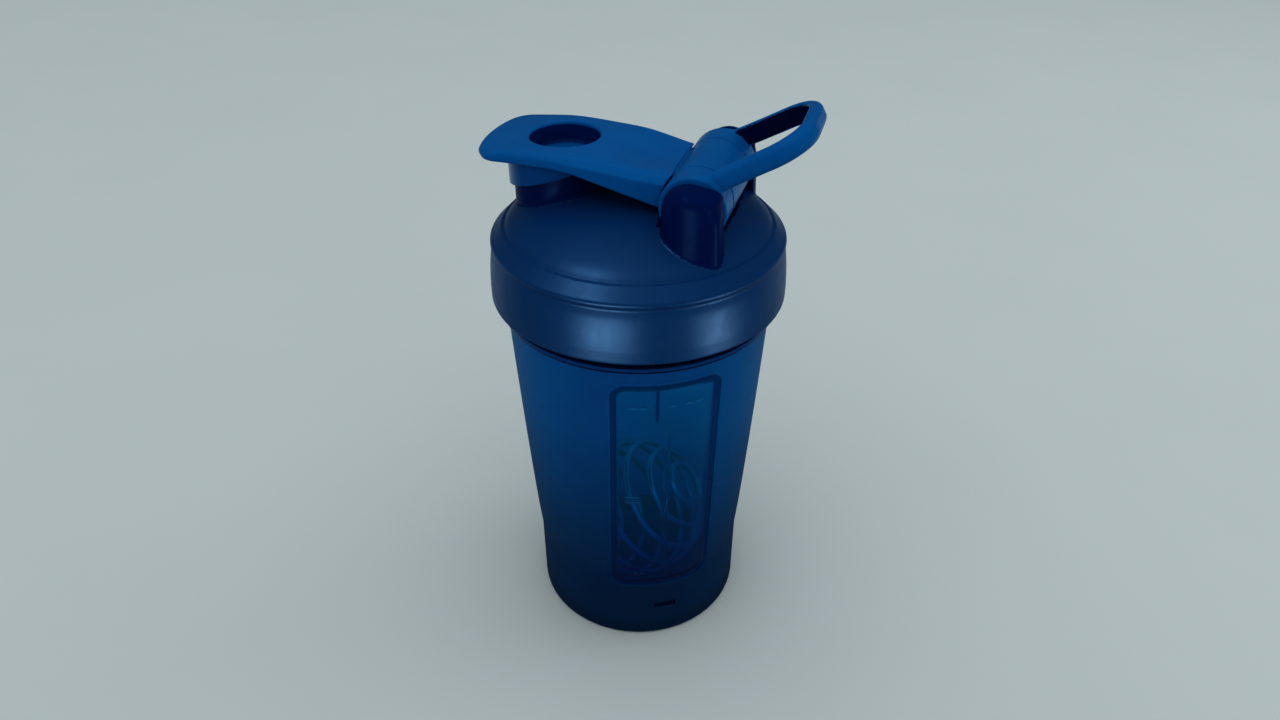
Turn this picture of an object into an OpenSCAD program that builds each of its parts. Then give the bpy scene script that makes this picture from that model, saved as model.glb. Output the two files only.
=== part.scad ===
// Shaker bottle with a screw lid, a flip cap over the spout, a carry loop and a wire whisk ball.
// Origin: centre of the base's underside. +Z up, spout towards -X, cap hinge towards +X.

/* [Cup] */
// Outer radius of the straight foot
base_r = 35.2; // [34:0.1:36]
// Height of the straight foot
foot_h = 28; // [20:1:34]
// Outer radius just below the neck flange
shoulder_r = 40.6; // [40:0.1:41]
// Height of the neck flange's underside
flange_z = 117.5; // [116:0.5:118]
// Height of the rim
rim_z = 138; // [136:0.5:138]
// Outer radius of the neck
neck_r = 40; // [39.6:0.1:40.2]
// Outer radius of the neck flange
flange_r = 42.3; // [41.6:0.1:42.4]
// Wall thickness
cup_wall = 1.8; // [1.4:0.1:2.2]
// Floor thickness
floor_t = 3; // [2:0.5:4]

/* [Window] */
// Direction of the window's centre, counter-clockwise from +X
window_turn = -60; // [-90:0.5:-30]
// Width of the window across its groove's outer edges
window_w = 34; // [28:1:36]
// Height of the window's lower edge
window_z = 24.5; // [22:0.5:30]
// Height of the window
window_h = 88; // [70:1:90]
// Corner radius of the window
window_corner = 5; // [3:0.5:8]
// Width of the groove round the window
groove_w = 2.6; // [1.5:0.1:3]
// Depth of the groove
groove_depth = 0.5; // [0.3:0.1:0.8]

/* [Thread] */
// Rise of the lid in one turn
thread_lead = 8; // [6:0.5:8]
// Number of thread starts
thread_starts = 2; // [1:1:2]
// Turns that one thread rib covers
thread_turns = 0.8; // [0.5:0.05:0.8]
// Radius of the cup thread's crest
cup_crest_r = 41.8; // [41.5:0.1:42]
// Radius of the lid thread's crest
lid_crest_r = 40.8; // [40.6:0.1:41]

/* [Lid] */
// Outer radius of the skirt
lid_r = 44.75; // [44.5:0.05:45.5]
// Height of the skirt's lower edge
skirt_z = 122.3; // [121.5:0.1:123]
// Inner radius of the skirt
skirt_in_r = 42.8; // [42.6:0.1:43]
// Height where the skirt turns in to the shoulder
skirt_top_z = 140; // [139:0.5:141]
// Radius of the crease between the shoulder and the dome
crease_r = 39.3; // [38:0.1:40]
// Horizontal half-axis of the dome's ellipse
dome_r = 40.5; // [40:0.1:42]
// Height of the centre of the dome's ellipse
dome_z = 141; // [140:0.5:142]
// Vertical half-axis of the dome's ellipse
dome_rise = 14; // [12:0.5:15]
// Thickness of the dome
dome_t = 2; // [1.6:0.1:2.4]

/* [Seal] */
// Thickness of the sealing ring
seal_t = 1.6; // [1.2:0.1:2]
// Inner radius of the sealing ring
seal_in_r = 37.7; // [37.6:0.1:38]
// Outer radius of the sealing ring
seal_out_r = 40.4; // [40:0.1:40.6]

/* [Spout] */
// Distance of the spout's axis from the bottle's axis, towards -X
spout_x = 23.5; // [22:0.5:25]
// Outer radius of the spout
spout_r = 14; // [13:0.25:14.5]
// Inner radius of the spout
spout_in_r = 12; // [11:0.25:12.25]
// Height of the spout's lip
spout_z = 160.5; // [159:0.5:161]

/* [Hinge] */
// Distance of the hinge axis from the bottle's axis, towards +X
hinge_x = 20.8; // [20:0.1:22]
// Height of the hinge axis
hinge_z = 158; // [157.5:0.1:159]
// Radius of the cap's barrel and of the loop's knuckles
barrel_r = 9.4; // [8.5:0.1:9.6]
// Half-length of the cap's barrel
barrel_half = 10.6; // [9:0.1:11.5]
// Distance of an ear's inner face from the middle plane
ear_in = 19.5; // [19:0.1:20]
// Distance of an ear's bulging outer face from the middle plane
ear_out = 27.6; // [27:0.1:28]
// Radius of an ear's bulge, seen from above
ear_bulge_r = 11.5; // [11:0.1:12]
// Radius of the hinge pin
pin_r = 2; // [1.5:0.1:2.5]
// Half-length of the hinge pin
pin_half = 22; // [21:0.1:22.3]
// Gap between the barrel and the trough in the dome under it
trough_gap = 1.2; // [0.6:0.1:1.4]

/* [Flip cap] */
// Length of the cap's plate from the bottle's axis to its tip
cap_tip = 46; // [42:0.1:47]
// Half-width of the plate over the spout
cap_half = 17; // [16:0.1:17.4]
// Half-width of the plate at the hinge
cap_root_half = 14; // [12:0.1:14]
// Thickness of the plate's side walls
cap_wall = 2; // [1.5:0.1:2.5]
// Radius of the finger recess
recess_r = 10.2; // [9:0.1:10.2]
// Height of the finger recess's floor
recess_z = 161; // [161:0.25:162]
// Radius of the sphere that hollows the thumb dish behind the recess
dish_r = 60; // [55:5:80]
// Outer radius of the skirt that covers the spout's lip
plug_skirt_r = 15.5; // [15.3:0.1:16]

/* [Carry loop] */
// Angle of the loop above the horizontal
loop_tilt = 30; // [25:1:40]
// Length of the loop from the hinge axis to its tip
loop_len = 35.8; // [34:0.1:38]
// Lowest face of the loop's band, measured square to the loop's plane
loop_low = 1.1; // [0.3:0.1:1.5]
// Highest face of the loop's band, measured square to the loop's plane
loop_high = 7.1; // [6:0.1:7.5]
// Half-width of the loop over its arms at the knuckles
loop_root_half = 18.9; // [18:0.1:19]
// Half-width of the loop over its arms near the tip
loop_tip_half = 17.7; // [16:0.1:18]
// Radius of the loop's two outer corners
loop_corner_r = 12.3; // [11:0.1:13]
// Thickness of the loop's arms
arm_t = 3; // [2.6:0.1:3.6]

/* [Whisk ball] */
// Outer radius of the ball
ball_r = 24.8; // [20:0.4:25.2]
// Radius of the wire
wire_r = 1.1; // [0.8:0.1:1.3]
// Turns of wire from pole to pole
ball_turns = 8; // [6:1:9]

/* [Hidden] */
$fn = 96;
overlap = 0.01;
running_gap = 0.05;
body_gap = 0.3;
seal_seat_z = rim_z + seal_t + 0.05;
seal_seat_r = 41.2;
seal_seat_low_z = 136.2;
thread_room_z = 134.6;
lip_r = 37.4;
lip_in_r = 35.6;
lip_z = 133;
ball_z = floor_t + ball_r + 0.4;
ball_tilt = [0, 51, 0];
dome_steps = 12;
flare_steps = 9;
thread_pitch = thread_lead / thread_starts;
thread_z = 125;
cup_thread_z = thread_z + thread_pitch / 2;
segments_per_turn = 30;

// Outer radius of the cup at height z, above the straight foot.
function cup_r(z) = base_r + (shoulder_r - base_r) * pow((z - foot_h) / (flange_z - foot_h), 0.8);
// Height of the dome over radius r, for a dome inset by t.
function dome_h(r, t) = dome_z + (dome_rise - t) * sqrt(1 - pow(r / (dome_r - t), 2));
// Points of an arc about (cx, cy) from angle a0 to a1.
function arc(cx, cy, r, a0, a1, n) =
    [for (i = [0 : n]) let (a = a0 + (a1 - a0) * i / n) [cx + r * cos(a), cy + r * sin(a)]];
// A value that runs linearly from v0 at s = 0 to v1 at s = 1.
function mix(v0, v1, s) = v0 + (v1 - v0) * s;

// Outline of the flared outside, from the foot up, inset by t.
function flare(t) = [for (i = [0 : flare_steps])
    let (z = mix(foot_h, flange_z, i / flare_steps)) [cup_r(z) - t, z]];
// The same outline from the top down, for the inside.
function flare_down(t) = [for (i = [flare_steps : -1 : 0])
    let (z = mix(foot_h, flange_z, i / flare_steps)) [cup_r(z) - t, z]];

// A helical thread rib: a trapezoid section swept round the Z axis. The crest may face out or in.
module thread_rib(root_r, crest_r, z0, start_angle) {
    steps = round(thread_turns * segments_per_turn);
    root_half = 0.85;
    crest_half = 0.4;
    section = [[root_r, -root_half], [crest_r, -crest_half], [crest_r, crest_half], [root_r, root_half]];
    rings = [for (i = [0 : steps]) let (a = start_angle + 360 * thread_turns * i / steps)
        for (p = section) [p[0] * cos(a), p[0] * sin(a), z0 + p[1] + thread_lead * thread_turns * i / steps]];
    sides = [for (i = [0 : steps - 1]) for (j = [0 : 3])
        let (a = 4 * i + j, b = 4 * i + (j + 1) % 4) [a, b, b + 4, a + 4]];
    last = 4 * steps;
    faces = concat([[3, 2, 1, 0]], sides, [[last, last + 1, last + 2, last + 3]]);
    flipped = [for (f = faces) [for (k = [len(f) - 1 : -1 : 0]) f[k]]];
    polyhedron(rings, crest_r > root_r ? faces : flipped, convexity = 6);
}

module thread(root_r, crest_r, z0) {
    for (s = [0 : thread_starts - 1]) thread_rib(root_r, crest_r, z0, 360 * s / thread_starts);
}

// The cup's outer surface as a solid, inset by t.
module cup_outside(t) {
    rotate_extrude()
        polygon(concat([[0, 0], [base_r - 1.5 - t, 0]], [[base_r - t, 1.5]], flare(t), [[0, flange_z]]));
}

// The window's outline, inset by t, in its own plane.
module window_outline(t) {
    w = window_w / 2 - t;
    r = window_corner - t;
    z0 = window_z + t;
    z1 = window_z + window_h - t;
    polygon(concat(
        arc(w - r, z0 + r, r, -90, 0, 6), arc(w - r, z1 - r, r, 0, 90, 6),
        arc(-w + r, z1 - r, r, 90, 180, 6), arc(-w + r, z0 + r, r, 180, 270, 6)));
}

// The shallow groove that frames the window.
module window_groove() {
    difference() {
        rotate([0, 0, window_turn + 90]) rotate([90, 0, 0]) linear_extrude(base_r + 10)
            difference() {
                window_outline(0);
                window_outline(groove_w);
            }
        cup_outside(groove_depth);
    }
}

module cup_body() {
    color([0.03, 0.19, 0.38, 0.8]) difference() {
        union() {
            rotate_extrude() polygon(concat(
                [[0, 0], [base_r - 1.5, 0]],
                arc(base_r - 1.5, 1.5, 1.5, -90, 0, 4),
                flare(0),
                [[flange_r - 0.8, flange_z], [flange_r, flange_z + 0.8], [flange_r, flange_z + 2.2],
                 [flange_r - 0.8, flange_z + 3], [neck_r, flange_z + 3], [neck_r, rim_z - 0.5],
                 [neck_r - 0.5, rim_z], [neck_r - cup_wall + 0.4, rim_z], [neck_r - cup_wall, rim_z - 0.4],
                 [neck_r - cup_wall, flange_z + 3]],
                flare_down(cup_wall),
                arc(base_r - cup_wall - 3, floor_t + 3, 3, 0, -90, 4),
                [[0, floor_t]]));
            thread(neck_r - 0.5, cup_crest_r, cup_thread_z);
        }
        window_groove();
    }
}

module lid_seal() {
    color([0.55, 0.62, 0.68]) translate([0, 0, rim_z + 0.02]) difference() {
        cylinder(h = seal_t, r = seal_out_r);
        translate([0, 0, -1]) cylinder(h = seal_t + 2, r = seal_in_r);
    }
}

// Side outline of an ear: a round front and top about the hinge axis and a leaning back.
module ear_outline() {
    foot_back_x = 30.6;
    back_x = 29.4;
    corner_r = 2.5;
    corner_z = hinge_z + 4.6;
    top_r = 9;
    top_z = hinge_z - 1;
    polygon(concat(
        [[foot_back_x, dome_z]],
        arc(back_x - corner_r, corner_z, corner_r, 5, 70, 4),
        arc(hinge_x, top_z, top_r, 75, 175, 12),
        [[hinge_x - top_r - 0.6, dome_z]]));
}

// Plan of both ears: each bulges outward in an arc.
module ears_plan() {
    bulge_x = hinge_x + 1.4;
    for (side = [-1, 1]) intersection() {
        translate([bulge_x, side * (ear_out - ear_bulge_r)]) circle(r = ear_bulge_r);
        translate([0, side > 0 ? ear_in : -ear_out]) square([2 * hinge_x, ear_out - ear_in]);
    }
}

module ears() {
    intersection() {
        translate([0, ear_out, 0]) rotate([90, 0, 0]) linear_extrude(2 * ear_out) ear_outline();
        translate([0, 0, dome_z - 1]) linear_extrude(40) ears_plan();
    }
}

// A cylinder about the hinge axis, centred on the middle plane.
module hinge_round(r, half) {
    translate([hinge_x, half, hinge_z]) rotate([90, 0, 0]) cylinder(h = 2 * half, r = r);
}

// The space under the dome, inside the lip.
module under_dome() {
    rotate_extrude() polygon(concat(
        [for (i = [0 : dome_steps]) let (r = lip_in_r * i / dome_steps) [r, dome_h(r, dome_t)]],
        [[lip_in_r, lip_z - 10], [0, lip_z - 10]]));
}

// The lid's outside as a solid down to the lip.
module lid_outside() {
    rotate_extrude() polygon(concat(
        [[0, skirt_z], [lid_r - 0.4, skirt_z], [lid_r, skirt_z + 0.5], [lid_r, skirt_z + 4],
         [lid_r - 0.3, skirt_z + 9], [lid_r - 0.75, skirt_z + 14], [lid_r - 1.1, skirt_top_z],
         [lid_r - 1.5, skirt_top_z + 1.1]],
        [for (i = [0 : dome_steps]) let (r = crease_r * cos(90 * i / dome_steps)) [r, dome_h(r, 0)]]));
}

module lid_shell() {
    color([0.02, 0.17, 0.33]) difference() {
        union() {
            difference() {
                union() {
                    lid_outside();
                    ears();
                    translate([-spout_x, 0, dome_z]) cylinder(h = spout_z - dome_z, r = spout_r);
                }
                under_dome();
                rotate_extrude() polygon([
                    [lip_r, lip_z + 1], [lip_r, seal_seat_z], [seal_seat_r, seal_seat_z],
                    [seal_seat_r, seal_seat_low_z], [skirt_in_r, thread_room_z],
                    [skirt_in_r, skirt_z - 1], [0, skirt_z - 1], [0, lip_z], [lip_r - 0.6, lip_z]]);
            }
            thread(skirt_in_r + 0.5, lid_crest_r, thread_z);
            intersection() {
                hinge_round(barrel_r + trough_gap + dome_t, ear_in + dome_t);
                rotate_extrude() polygon(concat([[0, dome_z], [crease_r, dome_z]],
                    [for (i = [0 : dome_steps]) let (r = crease_r * cos(90 * i / dome_steps))
                        [r, dome_h(r, dome_t / 2)]]));
            }
        }
        hinge_round(barrel_r + trough_gap, ear_in);
        hinge_round(pin_r + running_gap, pin_half + 0.2);
        translate([-spout_x, 0, dome_z - 1]) cylinder(h = spout_z - dome_z + 2, r = spout_in_r);
    }
}

module hinge_pin() {
    color([0.7, 0.72, 0.75]) hinge_round(pin_r, pin_half);
}

// Side outline of the cap's plate; drop lowers its upper face and lift raises its lower face.
module cap_side(drop, lift) {
    polygon([
        [hinge_x - 7.8, 164.5 - drop], [5, 165.8 - drop], [-5, 167.3 - drop], [-20, 167.9 - drop],
        [-30, 167.5 - drop], [-cap_tip + 2.5, 166.4 - drop], [-cap_tip + 0.5, 165.4 - drop],
        [-cap_tip, 164.9 - drop], [-cap_tip + 1, 164.1 + lift], [-cap_tip + 5, 163.7 + lift],
        [-19, 164 + lift], [-13, 163 + lift], [-1, 160 + lift], [9, 156.2 + lift], [12, 155.6 + lift],
        [hinge_x - 6, 158], [hinge_x - 6, 161]]);
}

// Plan of the cap's plate, inset by t.
module cap_plan(t) {
    tip_r = 34;
    corner_r = 7;
    half = cap_half - t;
    tip_half = half - 0.8;
    root_half = cap_root_half - t;
    bow = asin((tip_half - corner_r) / (tip_r - corner_r));
    corner_x = -cap_tip + t + tip_r - (tip_r - corner_r) * cos(bow);
    polygon(concat(
        arc(-cap_tip + t + tip_r, 0, tip_r, 180 - bow, 180 + bow, 8),
        arc(corner_x, -tip_half + corner_r, corner_r, 180 + bow, 270, 5),
        [[-18, -half], [0, -half], [5, -half + 1.2], [8, -root_half], [16, -root_half],
         [16, root_half], [8, root_half], [5, half - 1.2], [0, half], [-18, half]],
        arc(corner_x, tip_half - corner_r, corner_r, 90, 180 - bow, 5)));
}

module cap_plate() {
    difference() {
        intersection() {
            translate([0, 20, 0]) rotate([90, 0, 0]) linear_extrude(40) cap_side(0, 0);
            translate([0, 0, 140]) linear_extrude(40) cap_plan(0);
        }
        intersection() {
            translate([0, 20, 0]) rotate([90, 0, 0]) linear_extrude(40) cap_side(3, -6);
            translate([0, 0, 140]) linear_extrude(40) cap_plan(cap_wall);
        }
    }
}

module flip_cap() {
    skirt_slope = 17.5;
    skirt_low_z = 153.2;
    skirt_top = 164.5;
    plug_low_z = 157;
    plug_top = 166;
    recess_x = -spout_x + 1.5;
    recess_wall = 1.7;
    recess_wall_z = 160.9;
    dish_x = 13.3;
    dish_low_z = 163.9;
    color([0.02, 0.3, 0.6]) difference() {
        union() {
            difference() {
                cap_plate();
                hinge_round(barrel_r + 0.4, ear_out);
                translate([dish_x, 0, dish_low_z + dish_r]) sphere(r = dish_r);
            }
            hinge_round(barrel_r, barrel_half);
            intersection() {
                translate([0, barrel_half, 0]) rotate([90, 0, 0]) linear_extrude(2 * barrel_half)
                    cap_side(overlap, 0);
                translate([hinge_x - 12, -20, hinge_z - 3]) cube([12, 40, 10]);
            }
            translate([-spout_x, 0, plug_low_z]) cylinder(h = plug_top - plug_low_z, r = spout_in_r - 0.25);
            difference() {
                translate([-spout_x, 0, dome_z]) cylinder(h = skirt_top - dome_z, r = plug_skirt_r);
                translate([-spout_x, 0, dome_z - 1]) cylinder(h = skirt_top - dome_z + 2, r = spout_r + body_gap);
                translate([-spout_x - plug_skirt_r, 0, skirt_low_z]) rotate([0, -skirt_slope, 0])
                    translate([-20, -20, -30]) cube([80, 40, 30]);
            }
            translate([recess_x, 0, recess_wall_z])
                cylinder(h = skirt_top - recess_wall_z, r = recess_r + recess_wall);
        }
        translate([recess_x, 0, recess_z]) cylinder(h = 12, r = recess_r);
        hinge_round(pin_r + running_gap, ear_out);
    }
}

// Plan of the loop's band in its own plane: x runs from the hinge axis to the tip.
module loop_plan(t, root) {
    corner = loop_corner_r - t;
    half = loop_tip_half - t;
    root_half = loop_root_half - t;
    end = loop_len - t * 1.2;
    polygon(concat(
        [[root, root_half], [root, -root_half]],
        [[8, -root_half]],
        arc(end - corner, -half + corner, corner, -80, 0, 8),
        arc(end - corner, half - corner, corner, 0, 80, 8),
        [[8, root_half]]));
}

module carry_loop() {
    color([0.02, 0.27, 0.55]) difference() {
        union() {
            translate([hinge_x, 0, hinge_z]) rotate([0, -loop_tilt, 0]) translate([0, 0, loop_low])
                linear_extrude(loop_high - loop_low)
                difference() {
                    loop_plan(0, 1);
                    loop_plan(arm_t, 0);
                }
            difference() {
                hinge_round(barrel_r, ear_in - 0.3);
                hinge_round(barrel_r + 1, barrel_half + 0.3);
            }
        }
        hinge_round(barrel_r + 0.5, barrel_half + 0.3);
        hinge_round(pin_r + running_gap, ear_out);
    }
}

// The path of the whisk ball's wire: a spiral from one pole of a sphere to the other.
function ball_point(s) = let (lat = mix(-80, 80, s), a = 360 * ball_turns * s, r = ball_r - wire_r)
    [r * cos(lat) * cos(a), r * cos(lat) * sin(a), r * sin(lat)];
function unit(v) = v / norm(v);

module whisk_ball() {
    sides = 8;
    steps = ball_turns * 24;
    rings = [for (i = [0 : steps])
        let (p = ball_point(i / steps),
             tangent = unit(ball_point((i + 0.5) / steps) - ball_point((i - 0.5) / steps)),
             out = unit(p), across = cross(tangent, out))
        for (k = [0 : sides - 1]) p + wire_r * (cos(360 * k / sides) * out + sin(360 * k / sides) * across)];
    walls = [for (i = [0 : steps - 1]) for (k = [0 : sides - 1])
        let (a = sides * i + k, b = sides * i + (k + 1) % sides) [a, a + sides, b + sides, b]];
    first_cap = [for (k = [0 : sides - 1]) k];
    last_cap = [for (k = [sides - 1 : -1 : 0]) sides * steps + k];
    color([0.75, 0.77, 0.8]) translate([0, 0, ball_z]) rotate(ball_tilt)
        polyhedron(rings, concat([first_cap], walls, [last_cap]), convexity = 10);
}

cup_body();
lid_seal();
lid_shell();
hinge_pin();
flip_cap();
carry_loop();
whisk_ball();
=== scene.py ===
"""Looks of the shaker bottle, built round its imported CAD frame.

Shapes are in millimetres in the row frame: origin at the middle of the base, +Z up, the spout towards -X and
the hinge towards +X. Lights, camera and textures are in metres."""
import math

import bpy
import numpy as np
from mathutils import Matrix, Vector


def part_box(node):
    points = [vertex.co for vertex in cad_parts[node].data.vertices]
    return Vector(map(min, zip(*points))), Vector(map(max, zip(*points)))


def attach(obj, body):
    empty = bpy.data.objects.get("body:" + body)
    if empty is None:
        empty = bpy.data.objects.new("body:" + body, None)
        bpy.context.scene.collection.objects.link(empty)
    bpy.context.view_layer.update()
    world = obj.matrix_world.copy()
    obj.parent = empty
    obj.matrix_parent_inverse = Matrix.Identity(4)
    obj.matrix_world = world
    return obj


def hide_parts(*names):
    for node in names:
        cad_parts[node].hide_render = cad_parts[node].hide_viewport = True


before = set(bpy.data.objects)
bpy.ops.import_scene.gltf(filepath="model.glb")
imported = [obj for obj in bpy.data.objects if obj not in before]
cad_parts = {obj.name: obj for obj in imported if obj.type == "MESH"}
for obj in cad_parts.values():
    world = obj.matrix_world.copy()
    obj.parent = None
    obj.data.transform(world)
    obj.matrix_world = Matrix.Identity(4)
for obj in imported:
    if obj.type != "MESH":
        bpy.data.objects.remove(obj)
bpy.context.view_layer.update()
MM = 0.001


def mm_box(node):
    """A CAD node's two box corners in millimetres."""
    lo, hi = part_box(node)
    return np.array(lo) / MM, np.array(hi) / MM


_, CUP_HI = mm_box("cup_body")
LID_LO, LID_HI = mm_box("lid_shell")
SEAL_LO, SEAL_HI = mm_box("lid_seal")
PIN_LO, PIN_HI = mm_box("hinge_pin")
CAP_LO, CAP_HI = mm_box("flip_cap")
LOOP_LO, LOOP_HI = mm_box("carry_loop")

# The hinge: a pin through the lid's ears, the loop's two knuckles and the cap's barrel between them.
HINGE_X = (PIN_LO[0] + PIN_HI[0]) / 2
HINGE_Z = (PIN_LO[2] + PIN_HI[2]) / 2
PIN_R = (PIN_HI[2] - PIN_LO[2]) / 2
PIN_HALF = PIN_HI[1]
PIN_PLAY = 0.05
BARREL_R = 9.4
BARREL_HALF = 10.6
EAR_IN = 19.5
EAR_OUT = 27.6
BULGE_R = 11.5
BULGE_X = HINGE_X + 1.4
TROUGH_R = BARREL_R + 1.2

# The spout, and the coarse thread between lid and cup.
SPOUT_X, SPOUT_R, BORE_R, SPOUT_Z = -23.5, 14.0, 12.0, 160.5
THREAD_LEAD, THREAD_TURNS, THREAD_STARTS = 8.0, 0.8, 2


# ---------------------------------------------------------------- distance fields
def join(a, b, k):
    """Union of two distances with a fillet of radius k."""
    return np.maximum(k, np.minimum(a, b)) - np.hypot(np.maximum(k - a, 0), np.maximum(k - b, 0))


def common(a, b, k):
    """Intersection of two distances with an edge rounded to radius k."""
    return np.minimum(-k, np.maximum(a, b)) + np.hypot(np.maximum(k + a, 0), np.maximum(k + b, 0))


def ramp(v, low, high):
    """0 below low, 1 above high, smooth between."""
    t = np.clip((v - low) / (high - low), 0, 1)
    return t * t * (3 - 2 * t)


def arc(cx, cy, r, start, end, n):
    """n + 1 points on a circle between two angles in degrees."""
    return [(cx + r * math.cos(t), cy + r * math.sin(t)) for t in np.radians(np.linspace(start, end, n + 1))]


def spline(points, per=8):
    """A Catmull-Rom curve through the points."""
    p = np.array([points[0], *points, points[-1]], float)
    out = []
    for i in range(1, len(p) - 2):
        for t in np.arange(per) / per:
            out.append(0.5 * (2 * p[i] + (p[i + 1] - p[i - 1]) * t
                              + (2 * p[i - 1] - 5 * p[i] + 4 * p[i + 1] - p[i + 2]) * t ** 2
                              + (3 * p[i] - p[i - 1] - 3 * p[i + 1] + p[i + 2]) * t ** 3))
    out.append(p[-1])
    return [tuple(q) for q in out]


class Outline:
    """Signed distance to a closed outline, kept on a fine grid."""

    def __init__(self, points, margin=6.0, step=0.15):
        pts = np.array(points, float)
        self.lo = pts.min(0) - margin
        self.step = step
        count = np.ceil((pts.max(0) + margin - self.lo) / step).astype(int) + 1
        self.top = count - 1.001
        u, v = np.meshgrid(*(self.lo[i] + step * np.arange(count[i]) for i in (0, 1)), indexing="ij")
        best = np.full(u.shape, 1e9)
        inside = np.zeros(u.shape, bool)
        for (au, av), (bu, bv) in zip(pts, np.roll(pts, -1, 0)):
            du, dv = bu - au, bv - av
            length = du * du + dv * dv
            if length < 1e-12:
                continue
            t = np.clip(((u - au) * du + (v - av) * dv) / length, 0, 1)
            best = np.minimum(best, (u - au - t * du) ** 2 + (v - av - t * dv) ** 2)
            if av != bv:
                inside ^= ((v < av) != (v < bv)) & (u < au + (v - av) * du / dv)
        self.grid = np.where(inside, -1, 1) * np.sqrt(best)

    def __call__(self, u, v):
        gu, gv = (u - self.lo[0]) / self.step, (v - self.lo[1]) / self.step
        cu, cv = np.clip(gu, 0, self.top[0]), np.clip(gv, 0, self.top[1])
        i, j = cu.astype(int), cv.astype(int)
        s, t = cu - i, cv - j
        g = self.grid
        near = ((g[i, j] * (1 - s) + g[i + 1, j] * s) * (1 - t)
                + (g[i, j + 1] * (1 - s) + g[i + 1, j + 1] * s) * t)
        return near + np.hypot(gu - cu, gv - cv) * self.step


# ---------------------------------------------------------------- meshing a distance field
# The grid is filled block by block near the surface, so many blocks at a time.
BLOCK, BATCH = 8, 400


def unit(vectors):
    """Each row scaled to length 1."""
    return vectors / np.maximum(np.linalg.norm(vectors, axis=1, keepdims=True), 1e-9)


def slope(distance, points, h):
    """The distance's gradient at the points, by central differences."""
    out = np.empty_like(points)
    for k in range(3):
        before, after = points.copy(), points.copy()
        before[:, k] -= h
        after[:, k] += h
        out[:, k] = (distance(*after.T) - distance(*before.T)) / (2 * h)
    return out


def lattice(*axes):
    """Every point of a grid, as rows."""
    return np.stack(np.meshgrid(*axes, indexing="ij"), -1).reshape(-1, 3)


def sample(distance, lo, hi, step):
    """Distances on a grid: exact in the blocks near the surface, and each block's middle value elsewhere."""
    side = step * BLOCK
    blocks = np.ceil((np.array(hi) - lo) / side).astype(int)
    middle = distance(*lattice(*(lo[k] + side * (np.arange(blocks[k]) + 0.5) for k in range(3))).T)
    field = middle.reshape(blocks)
    for axis in range(3):
        field = np.repeat(field, BLOCK, axis)
    field = np.pad(field, (0, 1), mode="edge")
    near = np.argwhere((np.abs(middle) < side * 1.1 + step).reshape(blocks)) * BLOCK
    offsets = lattice(*[np.arange(BLOCK + 1)] * 3)
    for start in range(0, len(near), BATCH):
        at = (near[start:start + BATCH, None, :] + offsets[None]).reshape(-1, 3)
        field[tuple(at.T)] = distance(*(lo + step * at).T)
    return field


def crossed_cells(field):
    """The grid cells that the surface passes through, and a grid that holds each one's number."""
    inside = field < 0
    nx, ny, nz = inside.shape
    corners = sum(inside[i:nx - 1 + i, j:ny - 1 + j, k:nz - 1 + k].astype(np.int8)
                  for i in (0, 1) for j in (0, 1) for k in (0, 1))
    mixed = (corners > 0) & (corners < 8)
    cells = np.argwhere(mixed)
    number = np.full(mixed.shape, -1)
    number[mixed] = np.arange(len(cells))
    return cells, number


def cell_points(field, cells):
    """For each cell, the mean place in grid steps where its edges cross the surface."""
    total, hits = np.zeros((len(cells), 3)), np.zeros(len(cells))
    for axis in range(3):
        for a in (0, 1):
            for b in (0, 1):
                start = np.zeros(3, int)
                start[(axis + 1) % 3], start[(axis + 2) % 3] = a, b
                p, q = cells + start, cells + start
                q[:, axis] += 1
                fp, fq = field[tuple(p.T)], field[tuple(q.T)]
                cross = (fp < 0) != (fq < 0)
                at = p[cross].astype(float)
                at[:, axis] += fp[cross] / (fp[cross] - fq[cross])
                total[cross] += at
                hits[cross] += 1
    return total / hits[:, None]


def cell_quads(field, number):
    """A quad for every grid edge that crosses the surface, between its four cells and facing outward."""
    inside = field < 0
    quads = []
    for axis in range(3):
        u, v = (axis + 1) % 3, (axis + 2) % 3
        first, second = [slice(1, -1)] * 3, [slice(1, -1)] * 3
        first[axis], second[axis] = slice(0, -1), slice(1, None)
        starts_in, ends_in = inside[tuple(first)], inside[tuple(second)]
        edge = np.argwhere(starts_in != ends_in)
        outward = starts_in[tuple(edge.T)]
        edge[:, u] += 1
        edge[:, v] += 1
        du, dv = np.eye(3, dtype=int)[u], np.eye(3, dtype=int)[v]
        quad = np.stack([number[tuple(at.T)] for at in (edge - du - dv, edge - dv, edge, edge - du)], 1)
        quad[~outward] = quad[~outward][:, ::-1]
        quads.append(quad)
    return np.concatenate(quads)


def settle(distance, points, step):
    """Moves the points along the gradient until they lie on the surface."""
    for _ in range(3):
        g = slope(distance, points, 0.1)
        move = distance(*points.T)[:, None] * g / np.maximum((g * g).sum(1), 0.2)[:, None]
        reach = np.linalg.norm(move, axis=1, keepdims=True)
        points = points - move * np.minimum(1, 0.5 * step / np.maximum(reach, 1e-9))
    return points


def field_normals(distance, points, quads):
    """The gradient's direction, or the mean of the faces round a point where a sharp edge sets them apart."""
    g = unit(slope(distance, points, 0.25))
    faceted = np.zeros_like(points)
    across = np.cross(points[quads[:, 2]] - points[quads[:, 0]], points[quads[:, 3]] - points[quads[:, 1]])
    for k in range(4):
        np.add.at(faceted, quads[:, k], across)
    faceted = unit(faceted)
    trust = ramp((g * faceted).sum(1), 0.55, 0.85)[:, None]
    return unit(g * trust + faceted * (1 - trust))


def net(distance, lo, hi, step):
    """Points, quads and normals of the surface where the distance is zero."""
    lo = np.array(lo, float)
    field = sample(distance, lo, hi, step)
    cells, number = crossed_cells(field)
    quads = cell_quads(field, number)
    points = settle(distance, lo + step * cell_points(field, cells), step)
    return points, quads, field_normals(distance, points, quads)


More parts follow.
